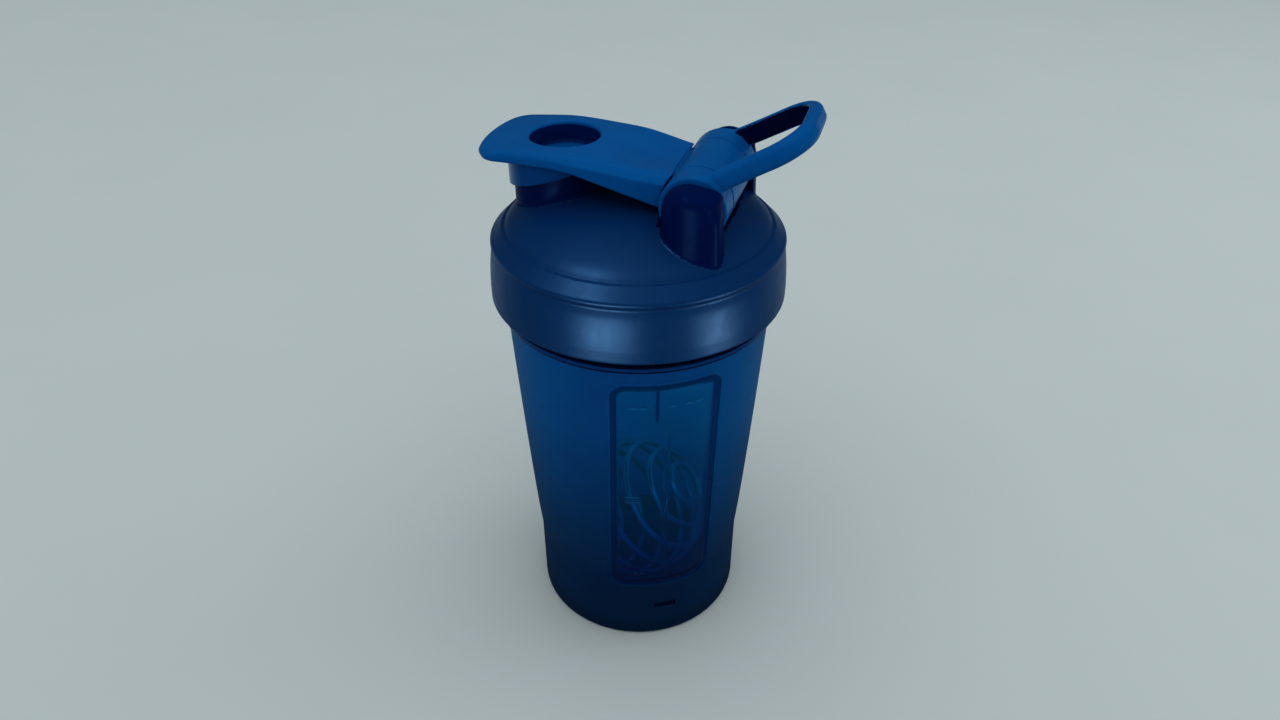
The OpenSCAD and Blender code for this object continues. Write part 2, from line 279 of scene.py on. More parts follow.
# ---------------------------------------------------------------- meshes
def piece(name, points, faces, materials, normals=None, choose=None):
    """A smooth-shaded object from points in millimetres; choose gives each face's material number."""
    mesh = bpy.data.meshes.new(name)
    mesh.from_pydata((np.asarray(points) * MM).tolist(), [], [list(map(int, f)) for f in faces])
    mesh.polygons.foreach_set("use_smooth", [True] * len(mesh.polygons))
    for material in materials:
        mesh.materials.append(material)
    if choose is not None:
        centres = np.empty(len(mesh.polygons) * 3)
        mesh.polygons.foreach_get("center", centres)
        chosen = choose(centres.reshape(-1, 3) / MM)
        mesh.polygons.foreach_set("material_index", chosen.astype(np.int32))
    mesh.update()
    if normals is not None:
        mesh.normals_split_custom_set_from_vertices(normals.tolist())
    ob = bpy.data.objects.new(name, mesh)
    bpy.context.scene.collection.objects.link(ob)
    return ob


def revolve(profile, columns, shift=None, bend=None):
    """Points and faces of a profile [(r, z), ...] turned about Z, with a column of points at each angle.

    The profile closes on itself, or its first and last point lie on the axis. bend(angle, z) turns a point
    and shift(angle, r, z, row) moves it outward."""
    prof = np.array(profile, float)
    open_ends = prof[0][0] < 1e-6
    rows = prof[1:-1] if open_ends else prof
    a, r = np.meshgrid(columns, rows[:, 0])
    z = np.repeat(rows[:, 1][:, None], len(columns), 1)
    if bend is not None:
        a = bend(a, z)
    if shift is not None:
        r = r + shift(a, r, z, np.repeat(np.arange(len(rows))[:, None], len(columns), 1))
    pts = np.stack([r * np.cos(a), r * np.sin(a), z], -1).reshape(-1, 3)
    n, m = len(columns), len(rows)
    faces = []
    for j in range(m - 1 if open_ends else m):
        k = (j + 1) % m
        for i in range(n):
            i2 = (i + 1) % n
            faces.append((j * n + i, j * n + i2, k * n + i2, k * n + i))
    if open_ends:
        pts = np.concatenate([pts, [[0, 0, prof[0][1]], [0, 0, prof[-1][1]]]])
        for i in range(n):
            i2 = (i + 1) % n
            faces.append((n * m, i2, i))
            faces.append((n * m + 1, (m - 1) * n + i, (m - 1) * n + i2))
    return pts, faces


# ---------------------------------------------------------------- materials
SHINE = (0.3, 0.62, 1.0)
PLASTIC_IOR, CUP_IOR = 1.5, 1.54
# The cup's colour darkens between these heights, in metres, for its thicker foot and as painted shade from
# the shadow under it.
FOOT_TINT_Z, BODY_TINT_Z = 0.024, 0.090


def node_tools(name):
    """A new material with its node tree and its shader."""
    material = bpy.data.materials.new(name)
    material.use_nodes = True
    return material, material.node_tree, material.node_tree.nodes["Principled BSDF"]


def noise(tree, scale, detail=4.0, rough=0.55, stretch=(1, 1, 1)):
    """A noise in object space."""
    coord = tree.nodes.new("ShaderNodeTexCoord")
    mapping = tree.nodes.new("ShaderNodeMapping")
    mapping.inputs["Scale"].default_value = stretch
    texture = tree.nodes.new("ShaderNodeTexNoise")
    texture.inputs["Scale"].default_value = scale
    texture.inputs["Detail"].default_value = detail
    texture.inputs["Roughness"].default_value = rough
    tree.links.new(coord.outputs["Object"], mapping.inputs["Vector"])
    tree.links.new(mapping.outputs["Vector"], texture.inputs["Vector"])
    return texture.outputs["Fac"]


def spread(tree, source, low, high, src_low=0.3, src_high=0.7):
    """Maps a socket's range, by default a noise's, to low and high."""
    mapped = tree.nodes.new("ShaderNodeMapRange")
    mapped.inputs["From Min"].default_value = src_low
    mapped.inputs["From Max"].default_value = src_high
    mapped.inputs["To Min"].default_value = low
    mapped.inputs["To Max"].default_value = high
    tree.links.new(source, mapped.inputs["Value"])
    return mapped.outputs["Result"]


def blend_colour(tree, factor, a, b):
    """Colour a at factor 0 and b at factor 1; each is a socket or a tuple."""
    mix = tree.nodes.new("ShaderNodeMix")
    mix.data_type = "RGBA"
    for socket, value in ((mix.inputs[6], a), (mix.inputs[7], b)):
        if isinstance(value, tuple):
            socket.default_value = (*value, 1)
        else:
            tree.links.new(value, socket)
    tree.links.new(factor, mix.inputs[0])
    return mix.outputs[2]


def height(tree, low, high):
    """0 at object height low and 1 at high, in metres."""
    coord = tree.nodes.new("ShaderNodeTexCoord")
    split = tree.nodes.new("ShaderNodeSeparateXYZ")
    tree.links.new(coord.outputs["Object"], split.inputs["Vector"])
    return spread(tree, split.outputs["Z"], 0, 1, low, high)


def bump(tree, shader, layers):
    """Chains bumps of (height socket, strength, distance in metres) into the shader's normal."""
    last = None
    for source, strength, distance in layers:
        node = tree.nodes.new("ShaderNodeBump")
        node.inputs["Strength"].default_value = strength
        node.inputs["Distance"].default_value = distance
        tree.links.new(source, node.inputs["Height"])
        if last is not None:
            tree.links.new(last, node.inputs["Normal"])
        last = node.outputs["Normal"]
    tree.links.new(last, shader.inputs["Normal"])


def mirrored(tree):
    """1 where the floor or the world shows in a reflection, 0 where it is seen itself or through the cup."""
    path = tree.nodes.new("ShaderNodeLightPath")
    less = tree.nodes.new("ShaderNodeMath")
    less.operation = "SUBTRACT"
    less.use_clamp = True
    tree.links.new(path.outputs["Is Glossy Ray"], less.inputs[0])
    tree.links.new(path.outputs["Is Transmission Ray"], less.inputs[1])
    return less.outputs["Value"]


def blue_shine(shader, ior, specular):
    """Highlights in the blue that the photo shows on every plastic part."""
    shader.inputs["IOR"].default_value = ior
    shader.inputs["Specular IOR Level"].default_value = specular
    shader.inputs["Specular Tint"].default_value = (*SHINE, 1)


def moulded(name, colour, deep, rough, grain, specular=0.3):
    """Moulded plastic: a slow shift of colour, an uneven gloss, and a fine pitted skin."""
    material, tree, shader = node_tools(name)
    patchy = blend_colour(tree, spread(tree, noise(tree, 55), 0, 1), colour, deep)
    tree.links.new(patchy, shader.inputs["Base Color"])
    gloss = spread(tree, noise(tree, 240, 5), rough - 0.035, rough + 0.035)
    tree.links.new(gloss, shader.inputs["Roughness"])
    bump(tree, shader, [(noise(tree, 2600, 3), grain, 0.00006), (noise(tree, 120, 2), 0.03, 0.0004)])
    blue_shine(shader, PLASTIC_IOR, specular)
    return material


def tinted(name, colour, deep, rough, clear, grain, specular=0.5):
    """Tinted see-through plastic, darker towards the foot: thicker there, and painted shade."""
    material, tree, shader = node_tools(name)
    patchy = blend_colour(tree, spread(tree, noise(tree, 40), 0, 1), colour, tuple(c * 0.86 for c in colour))
    graded = blend_colour(tree, height(tree, BODY_TINT_Z, FOOT_TINT_Z), patchy, deep)
    tree.links.new(graded, shader.inputs["Base Color"])
    gloss = spread(tree, noise(tree, 300, 5), rough - 0.03, rough + 0.03)
    tree.links.new(gloss, shader.inputs["Roughness"])
    bump(tree, shader, [(noise(tree, 2200, 3), grain, 0.00005), (noise(tree, 90, 2), 0.02, 0.0004)])
    shader.inputs["Transmission Weight"].default_value = clear
    blue_shine(shader, CUP_IOR, specular)
    return material


def metal(name, colour, rough):
    """Drawn wire: streaks along Z in its gloss and skin."""
    material, tree, shader = node_tools(name)
    patchy = blend_colour(tree, spread(tree, noise(tree, 90), 0, 1), colour, tuple(c * 0.85 for c in colour))
    tree.links.new(patchy, shader.inputs["Base Color"])
    gloss = spread(tree, noise(tree, 700, 4, 0.6, (1, 1, 6)), rough - 0.05, rough + 0.07)
    tree.links.new(gloss, shader.inputs["Roughness"])
    bump(tree, shader, [(noise(tree, 1500, 3, 0.6, (1, 1, 5)), 0.06, 0.00005)])
    shader.inputs["Metallic"].default_value = 1.0
    return material


# Name, colour, its darker patches, roughness, depth of the grain, specular level.
NAVY = moulded("navy_satin", (0.0008, 0.049, 0.162), (0.0008, 0.043, 0.148), 0.40, 0.35, 0.6)
# The ears, trough and spout are glossier, and their navy is painted darker as shade.
NAVY_GLOSS_SHADED = moulded("navy_gloss_painted_shade", (0.0008, 0.018, 0.104), (0.0008, 0.015, 0.092), 0.34, 0.03, 0.05)
BRIGHT = moulded("bright_blue", (0.0006, 0.124, 0.350), (0.0006, 0.112, 0.325), 0.34, 0.22, 0.25)
# The finger recess's wall is more polished, and painted dark as shade inside the recess.
RECESS = moulded("bright_blue_polished_painted_shade", (0.0008, 0.030, 0.150), (0.0008, 0.025, 0.130), 0.20, 0.05, 0.3)
# Painted shade: a near-black copy of the bright blue, for the loop band's inner faces and the cup's foot slot
# and flange.
PAINTED_SHADE_BLUE = moulded("bright_blue_shaded", (0.0008, 0.008, 0.050), (0.0008, 0.006, 0.042), 0.18, 0.05, 0.35)
# The collar under the cap's plate is glossier, and painted darker as shade.
COLLAR = moulded("bright_blue_collar_painted_shade", (0.0006, 0.080, 0.250), (0.0006, 0.072, 0.230), 0.10, 0.02, 0.5)
SEAL = moulded("seal_rubber", (0.30, 0.36, 0.41), (0.26, 0.32, 0.37), 0.55, 0.4)
# Name, colour, colour at the foot, roughness, clearness, depth of the grain, specular level.
FROST = tinted("cup_frosted", (0.0006, 0.275, 0.660), (0.0006, 0.100, 0.285), 0.50, 0.78, 0.30, 0.25)
CLEAR = tinted("cup_polished", (0.0006, 0.640, 0.930), (0.0006, 0.120, 0.520), 0.05, 0.94, 0.0, 0.35)
# Painted shade in the window's groove and notch, and a painted highlight line round the flange's bead.
BEAD = tinted("cup_bead", (0.0006, 0.078, 0.240), (0.0006, 0.026, 0.120), 0.14, 0.30, 0.02, 0.4)
# Painted glints: the raised marks in a lighter copy of the frosted plastic.
MARK = tinted("cup_mark_painted_glint", (0.02, 0.34, 0.66), (0.01, 0.14, 0.36), 0.25, 0.60, 0.1, 0.4)
STEEL = metal("steel", (0.50, 0.52, 0.54), 0.15)

# ---------------------------------------------------------------- lid
# Outlines in (distance from the axis, height) start a little past the axis.
PAST_AXIS = -8
LIP_R, LIP_IN_R, LIP_Z = 37.4, 35.6, 133.0
SKIRT_IN, SKIRT_Z, LID_R = 42.8, LID_LO[2], LID_HI[0]
SEAT_R, SEAT_Z, SEAT_SLOPE_Z = 41.2, 136.2, 134.6
SEAT_TOP = SEAL_HI[2] + 0.03
BELOW_LID = 116
THREAD_CREST_R, THREAD_LOW_Z = 40.8, 125.0
DOME_R, DOME_Z, DOME_RISE, DOME_T, CREASE_R = 40.5, 141.0, 14.0, 2.0, 39.3
SHOULDER_ROLL_R, SHOULDER_Z, SKIRT_ROLL_R = 1.45, 140.1, 0.7


def dome(r, t=0.0):
    """Height of the dome's top, or of a face t below it, at a distance r from the axis."""
    return DOME_Z + (DOME_RISE - t) * np.sqrt(np.clip(1 - (r / (DOME_R - t)) ** 2, 0, 1))


dome_top = [(r, float(dome(r))) for r in CREASE_R * np.sin(np.radians(np.linspace(0, 90, 46)))]
dome_under = [(r, float(dome(r, DOME_T))) for r in np.linspace(LIP_IN_R, 0, 60)]
skirt_side = spline([(LID_R - 1.5, SHOULDER_Z - 1.4), (LID_R - 1.25, SHOULDER_Z - 2.3),
                     (LID_R - 0.8, SKIRT_Z + 13.4), (LID_R - 0.3, SKIRT_Z + 9), (LID_R, SKIRT_Z + 4)])
LID_OUT = Outline([(PAST_AXIS, dome_top[0][1])] + dome_top + [(40.2, SHOULDER_Z + 4.1)]
                  + arc(LID_R - 1 - SHOULDER_ROLL_R, SHOULDER_Z, SHOULDER_ROLL_R, 60, -35, 14) + skirt_side
                  + arc(LID_R - SKIRT_ROLL_R, SKIRT_Z + SKIRT_ROLL_R, SKIRT_ROLL_R, 0, -90, 6)
                  + [(PAST_AXIS, SKIRT_Z)])
LID_CUT = Outline([(PAST_AXIS, BELOW_LID), (SKIRT_IN, BELOW_LID), (SKIRT_IN, SEAT_SLOPE_Z), (SEAT_R, SEAT_Z),
                   (SEAT_R, SEAT_TOP), (LIP_R, SEAT_TOP), (LIP_R, LIP_Z + 1), (LIP_R - 0.6, LIP_Z),
                   (LIP_IN_R, LIP_Z)] + dome_under + [(PAST_AXIS, dome_under[-1][1])])

# The ears' outline in (x, z).
EAR_FOOT_Z, EAR_BACK_X, EAR_FRONT_X = 136, 29.4, HINGE_X - 9.0
EAR_SIDE = Outline([(EAR_BACK_X + 1.4, EAR_FOOT_Z)] + arc(EAR_BACK_X - 2.5, HINGE_Z + 4.6, 2.5, 4, 76, 8)
                   + arc(HINGE_X, HINGE_Z - 1, HINGE_X - EAR_FRONT_X, 76, 176, 28)
                   + [(EAR_FRONT_X - 0.8, EAR_FOOT_Z)])


def lid_field(x, y, z):
    """Distance to the lid: turned shell, spout and ears, cut by the barrels' trough, the bore and the pin."""
    r, ay = np.hypot(x, y), np.abs(y)
    from_spout = np.hypot(x - SPOUT_X, y)
    from_hinge = np.hypot(x - HINGE_X, z - HINGE_Z)
    body = LID_OUT(r, z)
    spout = common(from_spout - SPOUT_R, np.maximum(z - SPOUT_Z, DOME_Z - z), 0.8)
    bulge = np.hypot(x - BULGE_X, ay - EAR_OUT + BULGE_R) - BULGE_R
    # The ear's edge is well rounded, and sharper low down on its back.
    edge = 3.6 - 2.6 * ramp(x, 25, 29) * (1 - ramp(z, 158, 162))
    ear = common(common(EAR_SIDE(x, z), bulge, edge), EAR_IN - ay, 0.5)
    solid = join(join(body, spout, 0.9), ear, 0.7)
    shell = common(solid, -LID_CUT(r, z), 0.4)
    # The barrels turn in a trough, which keeps a skin under it where it cuts the dome.
    trough_skin = np.maximum(from_hinge - TROUGH_R - 2, ay - EAR_IN - 2)
    shell = np.minimum(shell, np.maximum(trough_skin, np.maximum(body + 1.0, DOME_Z - z)))
    shell = common(shell, -np.maximum(from_hinge - TROUGH_R, ay - EAR_IN), 0.5)
    shell = common(shell, -np.maximum(from_spout - BORE_R, DOME_Z - 1 - z), 0.5)
    return np.maximum(shell, -np.maximum(from_hinge - PIN_R - PIN_PLAY, ay - PIN_HALF - 0.2))


def inner_thread(root_r, crest_r, z0):
    """Closed helical ribs that stand inward from root_r to crest_r and start at z0, as points and faces."""
    section = [(root_r, -0.85), (crest_r + 0.15, -0.5), (crest_r, -0.3), (crest_r, 0.3),
               (crest_r + 0.15, 0.5), (root_r, 0.85)]
    n, steps = len(section), int(72 * THREAD_TURNS)
    points, faces = [], []
    for start in range(THREAD_STARTS):
        base = len(points)
        for i in range(steps + 1):
            turns = THREAD_TURNS * i / steps
            a = 2 * math.pi * (start / THREAD_STARTS + turns)
            fade = min(1, min(i, steps - i) / 5)
            for r, dz in section:
                at_r = root_r + (r - root_r) * (0.25 + 0.75 * fade)
                points.append((at_r * math.cos(a), at_r * math.sin(a), z0 + dz + THREAD_LEAD * turns))
        for i in range(steps):
            here, ahead = base + n * i, base + n * (i + 1)
            for k in range(n):
                k2 = (k + 1) % n
                faces.append([ahead + k, ahead + k2, here + k2, here + k])
        faces += [[base + k for k in range(n)], [base + n * steps + k for k in range(n)][::-1]]
    return np.array(points), faces


def with_ribs(points, quads, normals, ribs):
    """Adds closed ribs that face inward to a meshed surface."""
    rib_points, rib_faces = ribs
    faces = quads.tolist() + [[len(points) + i for i in face] for face in rib_faces]
    inward = -unit(rib_points * (1, 1, 0))
    return np.concatenate([points, rib_points]), faces, np.concatenate([normals, inward])


def lid_gloss_and_shade(c):
    """1 on the polished faces - ears, trough and spout - whose navy is painted darker as shade, and 0
    elsewhere.
    """
    x, ay, z = c[:, 0], np.abs(c[:, 1]), c[:, 2]
    over = z - dome(np.hypot(x, c[:, 1]))
    ear = (np.hypot(x - BULGE_X, ay - EAR_OUT + BULGE_R) < BULGE_R + 0.45) & (over > 0.25)
    ear &= ay > EAR_IN - 0.3
    trough = (np.hypot(x - HINGE_X, z - HINGE_Z) < TROUGH_R + 0.4) & (ay < EAR_IN + 0.3)
    spout = (np.hypot(x - SPOUT_X, c[:, 1]) < SPOUT_R + 0.8) & (over > 0.12)
    return ear | trough | spout


points, quads, normals = net(lid_field, LID_LO - 1.3, LID_HI + 1.3, 0.6)
ribs = inner_thread(SKIRT_IN + 0.3, THREAD_CREST_R, THREAD_LOW_Z)
points, faces, normals = with_ribs(points, quads, normals, ribs)
lid = piece("lid", points, faces, [NAVY, NAVY_GLOSS_SHADED], normals, lid_gloss_and_shade)
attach(lid, "lid")
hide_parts("lid_shell")

# ---------------------------------------------------------------- flip cap
# The side outline is in (x, z); the plan's tip is a wide arc between two rounded corners.
TIP_X, CAP_HALF, CAP_T = CAP_LO[0], CAP_HI[1], 3
NECK_X = HINGE_X - 6.0
CAP_TOP = spline([(NECK_X, 164.2), (HINGE_X - 7.8, 164.5), (5, 165.8), (-5, 167.2), (-20, 167.9),
                  (-30, 167.5), (TIP_X + 4, 166.4), (TIP_X + 1.2, 165.9), (TIP_X, 165.3)])
CAP_UNDER = [(TIP_X, 164.6), (TIP_X + 1, 163.8), (TIP_X + 5, 163.5), (-30, 163.9), (-20, 163.9),
             (-14, 163.2), (-7.5, 161.6), (-1, 159.9), (5, 157.9), (9, 156.3), (12, 155.7),
             (NECK_X, 156), (NECK_X, 161)]
CAP_SIDE = Outline(CAP_TOP + CAP_UNDER)
CAP_HOLLOW = Outline([(u, v - CAP_T) for u, v in CAP_TOP] + [(TIP_X, 150), (NECK_X, 150)])
TIP_R, CORNER_R, TIP_HALF = 34.0, 7.0, CAP_HALF - 0.8
bow = math.degrees(math.asin((TIP_HALF - CORNER_R) / (TIP_R - CORNER_R)))
corner_x = TIP_X + TIP_R - (TIP_R - CORNER_R) * math.cos(math.radians(bow))
long_edge = spline([(-33, CAP_HALF - 0.65), (-27, CAP_HALF - 0.25), (-18, CAP_HALF), (-9, CAP_HALF + 0.2),
                    (-1, CAP_HALF + 0.1), (4, CAP_HALF - 0.5), (9, CAP_HALF - 1.5), (12, CAP_HALF - 2),
                    (16, CAP_HALF - 2)])
CAP_PLAN = Outline(arc(TIP_X + TIP_R, 0, TIP_R, 180 - bow, 180 + bow, 24)
                   + arc(corner_x, -TIP_HALF + CORNER_R, CORNER_R, 180 + bow, 270, 14)
                   + [(u, -v) for u, v in long_edge] + long_edge[::-1]
                   + arc(corner_x, TIP_HALF - CORNER_R, CORNER_R, 90, 180 - bow, 14))
top_x, top_z = np.array(CAP_TOP)[::-1].T

# A large sphere scoops the plate's top before the barrel; the collar's foot is cut at a slant along the dome.
SCOOP_X, SCOOP_Z, SCOOP_R = 13.3, 223.9, 60
SLANT, SLANT_X, SLANT_Z = math.radians(17.5), -39, 153.2
COLLAR_R, COLLAR_IN, PLUG_R, PLUG_Z = 15.5, SPOUT_R + 0.3, BORE_R - 0.25, 157
RECESS_X, RECESS_R, RECESS_Z = -22, 10.2, 161.4
CAP_ROOF_Z = 164.5


def cap_field(x, y, z):
    """Distance to the cap: a hollow plate with its barrel, collar, plug and finger recess."""
    ay = np.abs(y)
    from_hinge = np.hypot(x - HINGE_X, z - HINGE_Z)
    from_spout = np.hypot(x - SPOUT_X, y)
    from_recess = np.hypot(x - RECESS_X, y)
    crowned = z + 0.5 * ((y / CAP_HALF) ** 2 - 0.3)
    side, plan = CAP_SIDE(x, crowned), CAP_PLAN(x, y)
    # The plate's top edge is rounder than the lower one, and most of all towards the hinge.
    edge = 0.7 + (1.1 + 2.0 * ramp(x, -30, -6)) * ramp(z - np.interp(x, top_x, top_z), -4.2, -1.2)
    hollow = common(CAP_HOLLOW(x, crowned), plan + 2, 0.8)
    plate = common(common(side, plan, edge), -hollow, 0.4)
    plate = common(plate, BARREL_R + 0.4 - from_hinge, 0.3)
    scoop = np.sqrt((x - SCOOP_X) ** 2 + y ** 2 + (z - SCOOP_Z) ** 2) - SCOOP_R
    plate = common(plate, -scoop, 0.9)
    barrel = common(from_hinge - BARREL_R, ay - BARREL_HALF, 0.6)
    # A web fills the plate's hollow next to the barrel.
    web = np.maximum(np.maximum(side + 0.8, ay - BARREL_HALF + 0.4),
                     np.maximum(HINGE_X - 12 - x, np.maximum(x - HINGE_X, 155 - z)))
    body = np.minimum(join(plate, barrel, 0.15), np.maximum(web, 0.5 - scoop))
    slant = (x - SLANT_X) * math.sin(SLANT) - (z - SLANT_Z) * math.cos(SLANT)
    collar = common(common(from_spout - COLLAR_R, slant, 0.5), COLLAR_IN - from_spout, 0.4)
    body = join(body, np.maximum(collar, z - CAP_ROOF_Z), 0.4)
    plug = common(from_spout - PLUG_R, PLUG_Z - z, 0.9)
    body = join(body, np.maximum(plug, z - CAP_ROOF_Z - 0.5), 0.8)
    boss = np.maximum(from_recess - RECESS_R - 1.8, np.maximum(RECESS_Z - 0.5 - z, z - CAP_ROOF_Z - 0.3))
    body = join(body, boss, 0.3)
    recess = common(from_recess - RECESS_R, RECESS_Z - z, 1.2)
    body = common(body, -recess, 0.9)
    return np.maximum(body, PIN_R + PIN_PLAY - from_hinge)


def cap_gloss_and_shade(c):
    """2 on the collar round the spout, 1 on the finger recess's wall - both painted darker as shade - and 0
    elsewhere.
    """
    from_spout = np.hypot(c[:, 0] - SPOUT_X, c[:, 1])
    from_recess = np.hypot(c[:, 0] - RECESS_X, c[:, 1])
    z = c[:, 2]
    collar = (from_spout > SPOUT_R) & (from_spout < COLLAR_R + 0.15) & (z < 163.4)
    recess = (from_recess < RECESS_R + 0.15) & (from_recess > RECESS_R - 1)
    recess &= (z > RECESS_Z - 0.9) & (z < RECESS_Z + 5.2)
    return np.where(collar, 2, recess)


points, quads, normals = net(cap_field, CAP_LO - 1.5, CAP_HI + 1.5, 0.45)
cap = piece("flip_cap_shell", points, quads.tolist(), [BRIGHT, RECESS, COLLAR], normals, cap_gloss_and_shade)
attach(cap, "cap")
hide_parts("flip_cap")

# ---------------------------------------------------------------- carry loop
# The band is flat in a plane that rises from the hinge at TILT, measured along it and square to it.
TILT = math.radians(30)
LOOP_LEN, LOOP_ROOT, LOOP_HALF, LOOP_CORNER = 35.8, 18.9, 17.7, 12.3
ARM, BAND_MID, BAND_HALF = 3.0, 4.1, 3.0
KNUCKLE_GAP = 0.3


def loop_outline(t, root):
    """The band's plan, moved inward by t and starting at a distance root along it."""
    half, corner, end = LOOP_HALF - t, LOOP_CORNER - t, LOOP_LEN - t * 1.2
    wide = LOOP_ROOT - t
    side = spline([(7, wide), (10, wide - 0.35), (14, wide - 0.8), (19, half + 0.15)], 5)
    tip = arc(end - corner, half - corner, corner, 85, 0, 18)
    upper = [(root, wide)] + side + tip
    return upper + [(u, -v) for u, v in upper[::-1]]


LOOP_OUT = Outline(loop_outline(0, 0.5))
LOOP_IN = Outline(loop_outline(ARM, -2))


def band_place(x, z):
    """Distances from the pin along the band's plane and square to it."""
    dx, dz = x - HINGE_X, z - HINGE_Z
    return dx * math.cos(TILT) + dz * math.sin(TILT), dz * math.cos(TILT) - dx * math.sin(TILT)


def loop_field(x, y, z):
    """Distance to the loop: two knuckles beside the cap's barrel, and the band between them."""
    ay = np.abs(y)
    from_hinge = np.hypot(x - HINGE_X, z - HINGE_Z)
    along, square = band_place(x, z)
    band = common(LOOP_OUT(along, y), np.abs(square - BAND_MID) - BAND_HALF, 2.2)
    band = common(band, -LOOP_IN(along, y), 1.1)
    knuckle = common(from_hinge - BARREL_R, ay - EAR_IN + 0.35, 0.7)
    knuckle = common(knuckle, BARREL_HALF + KNUCKLE_GAP - ay, 0.4)
    body = join(knuckle, band, 1.2)
    body = np.maximum(body, -np.maximum(from_hinge - BARREL_R - 0.5, ay - BARREL_HALF - KNUCKLE_GAP))
    body = np.maximum(body, ay - EAR_IN + KNUCKLE_GAP)
    return np.maximum(body, PIN_R + PIN_PLAY - from_hinge)


def loop_inner(c):
    """1 on the band's inner faces, which are painted dark as shade, and 0 elsewhere."""
    along, square = band_place(c[:, 0], c[:, 2])
    clear = np.hypot(along, square) > BARREL_R + 0.6
    return (LOOP_IN(along, c[:, 1]) < 0.45) & (np.abs(square - BAND_MID) < BAND_HALF - 0.4) & clear


points, quads, normals = net(loop_field, LOOP_LO - 1.5, LOOP_HI + 1.5, 0.45)
loop = piece("carry_loop_band", points, quads.tolist(), [BRIGHT, PAINTED_SHADE_BLUE], normals, loop_inner)
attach(loop, "loop")
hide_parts("carry_loop")

# ---------------------------------------------------------------- cup
BASE_R, SHOULDER_R, FOOT_H, FLANGE_Z = 35.2, 40.6, 28.0, 117.5
NECK_R, FLANGE_R, WALL, FLOOR, RIM_Z = 40.0, 42.3, 1.8, 3.0, CUP_HI[2]
NECK_THREAD_Z, NECK_THREAD_RISE = 127.0, 1.8
WINDOW_TURN, WINDOW_HALF, WINDOW_Z, WINDOW_H, WINDOW_CORNER = math.radians(-60.0), 17.0, 24.5, 88.0, 5.0
WINDOW_REACH, FAR_SIDE = 1.2, 99.0

# Small bars on the outer face, as (left, right, low, high): across the window's middle line, and in height.
SLOT = (-2.4, 5.2, 12.7, 15.1)
NOTCH = (-3.35, -2.85, 98.5, 111.8)
RIDGE = (-0.6, 0.7, 37.0, 97.0)
MARKS = [(-12.4, -7.6, 65.3 + 1.15 * k, 65.55 + 1.15 * k) for k in range(3)]
MARKS += [(left, right, 103.6, 104.0) for left, right in
          ((-11.5, -9.2), (-8.0, -6.4), (0.6, 2.2), (5.2, 7.4), (8.6, 10.8))]
MARKS += [(left, right, 31.0, 31.4) for left, right in ((-9.4, -8.2), (-7.4, -5.9))]


def cup_r(z):
    """The cup's outer radius: straight in the foot, then flaring to the shoulder."""
    return BASE_R + (SHOULDER_R - BASE_R) * np.clip((z - FOOT_H) / (FLANGE_Z - FOOT_H), 0, 1) ** 0.8


def window(across, z):
    """Signed distance to the window's rounded rectangle, negative inside."""
    u = np.abs(across) - WINDOW_HALF + WINDOW_CORNER
    v = np.abs(z - WINDOW_Z - WINDOW_H / 2) - WINDOW_H / 2 + WINDOW_CORNER
    return np.hypot(np.maximum(u, 0), np.maximum(v, 0)) + np.minimum(np.maximum(u, v), 0) - WINDOW_CORNER


def window_turn(angle):
    """The turn from the window's middle line, between -pi and pi."""
    return (angle - WINDOW_TURN + math.pi) % (2 * math.pi) - math.pi


def off_middle(angle, r):
    """Flat distance across from the window's middle line; past a turn of WINDOW_REACH it is FAR_SIDE."""
    turn = window_turn(angle)
    return np.where(np.abs(turn) < WINDOW_REACH, r * np.sin(turn), FAR_SIDE)


def bar(across, z, left, right, low, high, soft=0.2):
    """1 on a small bar and 0 beside it."""
    return (ramp(across, left - soft, left + soft) * (1 - ramp(across, right - soft, right + soft))
            * ramp(z, low - soft, low + soft) * (1 - ramp(z, high - soft, high + soft)))


def cup_shift(angle, r, z, row):
    """How far the face stands off its plain turned form."""
    across = off_middle(angle, r)
    q = window(across, z)
    # The window's recess, the groove along its inside edge, and the low lip round it.
    out = -(0.22 + 0.34 * ramp(z, 35, 100)) * ramp(-q, 0.0, 0.9)
    out -= (0.2 + 0.42 * ramp(z, 26, 45)) * ramp(-q, 0.1, 0.9) * (1 - ramp(-q, 1.5, 2.5))
    out += 0.12 * ramp(q, -0.1, 0.5) * (1 - ramp(q, 0.7, 1.8))
    # The raised marks and ridge, and the sunk notch and slot.
    inner = ramp(-q, 3.0, 3.4)
    for edges in MARKS:
        out += 0.22 * inner * bar(across, z, *edges)
    out -= 0.34 * bar(across, z, *NOTCH, 0.22)
    out += 0.10 * inner * bar(across, z, *RIDGE, 0.25)
    out -= 0.9 * bar(across, z, *SLOT, 0.3)
    out = np.where(row <= outer_rows, out, 0)
    # The thread on the neck.
    rib = np.zeros_like(r)
    for start in range(THREAD_STARTS):
        turns = (angle / (2 * math.pi) - start / THREAD_STARTS) % 1
        from_rib = np.abs(z - NECK_THREAD_Z - THREAD_LEAD * turns)
        share = turns / THREAD_TURNS
        ends = ramp(share, 0.0, 0.03) * (1 - ramp(share, 0.97, 1.0))
        rib = np.maximum(rib, (1 - ramp(from_rib, 0.45, 0.95)) * ends)
    return np.where((row > outer_rows) & (row <= neck_rows), out + NECK_THREAD_RISE * rib, out)


